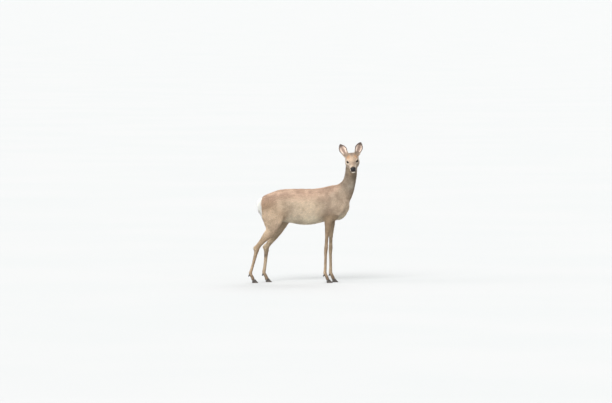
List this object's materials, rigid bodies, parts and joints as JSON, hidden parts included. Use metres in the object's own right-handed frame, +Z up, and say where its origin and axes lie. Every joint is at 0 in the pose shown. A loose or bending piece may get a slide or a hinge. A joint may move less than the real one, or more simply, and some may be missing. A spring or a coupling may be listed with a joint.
{
  "type": "roe deer model",
  "caption": "Life-size still model of a standing roe deer doe, side on, with her head turned to look to her right.",
  "frame": {"origin": "on the floor, at the middle of the model's bounding box", "axes": "+X from the rump to the chest, +Y to the animal's left, +Z up"},
  "size_m": [0.8328, 0.343, 1.0209],
  "materials": {
    "coat": "short grizzled grey-brown hair, matt",
    "face": "very short grey-brown hair, matt",
    "legs": "very short brown hair, matt",
    "rump": "longer white hair, matt",
    "nose": "moist bare black skin",
    "eye": "glossy, very dark brown",
    "horn": "dark horn, satin"
  },
  "bodies": {
    "root": {"ear_right": "face", "ear_left": "face", "eye_right": "eye", "eye_left": "eye", "nose": "nose", "lower_jaw": "face", "head": "face", "neck": "coat", "tail": "rump", "trunk": "coat", "forearm_front_right": "legs", "cannon_front_right": "legs", "pastern_front_right": "legs", "hoof_front_right_inner": "horn", "hoof_front_right_outer": "horn", "dewclaw_front_right_inner": "horn", "dewclaw_front_right_outer": "horn", "forearm_front_left": "legs", "cannon_front_left": "legs", "pastern_front_left": "legs", "hoof_front_left_inner": "horn", "hoof_front_left_outer": "horn", "dewclaw_front_left_inner": "horn", "dewclaw_front_left_outer": "horn", "thigh_hind_right": "legs", "cannon_hind_right": "legs", "pastern_hind_right": "legs", "hoof_hind_right_inner": "horn", "hoof_hind_right_outer": "horn", "dewclaw_hind_right_inner": "horn", "dewclaw_hind_right_outer": "horn", "thigh_hind_left": "legs", "cannon_hind_left": "legs", "pastern_hind_left": "legs", "hoof_hind_left_inner": "horn", "hoof_hind_left_outer": "horn", "dewclaw_hind_left_inner": "horn", "dewclaw_hind_left_outer": "horn"}
  },
  "joints": []
}
